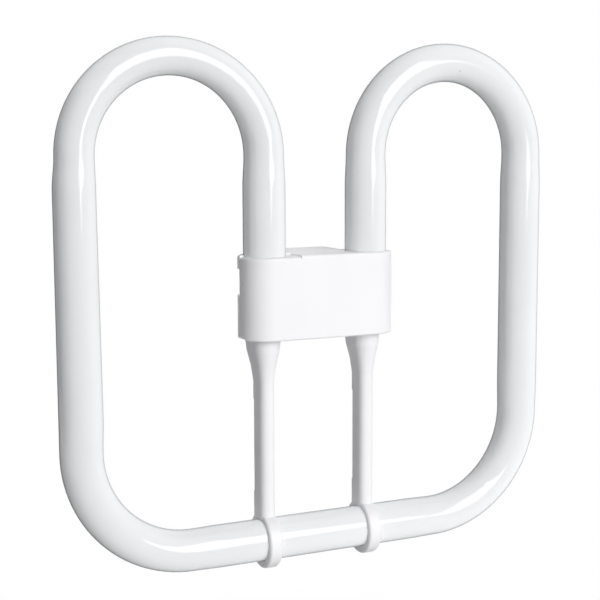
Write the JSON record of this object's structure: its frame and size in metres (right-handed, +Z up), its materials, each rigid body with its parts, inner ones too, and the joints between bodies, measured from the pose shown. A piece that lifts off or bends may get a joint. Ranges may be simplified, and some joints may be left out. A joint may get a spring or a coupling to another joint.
{
  "type": "compact fluorescent lamp",
  "caption": "Flat square double-loop compact fluorescent lamp in white glass, with a moulded plug-in pin base and two clip arms to the bottom run.",
  "frame": {"origin": "centre of the four-pin pattern, on the floor of the well in the base's back, which the pins stand on", "axes": "+Y the way the pins point, out of the lamp's back; +Z up, from the base towards the tube's two top bends; +X to the right seen from the front"},
  "size_m": [0.207, 0.0349, 0.2054],
  "materials": {
    "coated_glass": "clear glass, opaque white inside from its phosphor coat, glossy",
    "white_plastic": "satin moulded",
    "pin_brass": "turned",
    "lead_wire": "drawn, plated",
    "lamp_cement": "matt silicone"
  },
  "bodies": {
    "root": {"discharge_tube": "coated_glass", "front_housing": "white_plastic", "rear_housing": "white_plastic", "pin_upper_left": "pin_brass", "pin_upper_right": "pin_brass", "pin_lower_left": "pin_brass", "pin_lower_right": "pin_brass", "lead_upper_left": "lead_wire", "lead_upper_right": "lead_wire", "lead_lower_left": "lead_wire", "lead_lower_right": "lead_wire", "cement_left": "lamp_cement", "cement_right": "lamp_cement"}
  },
  "joints": []
}
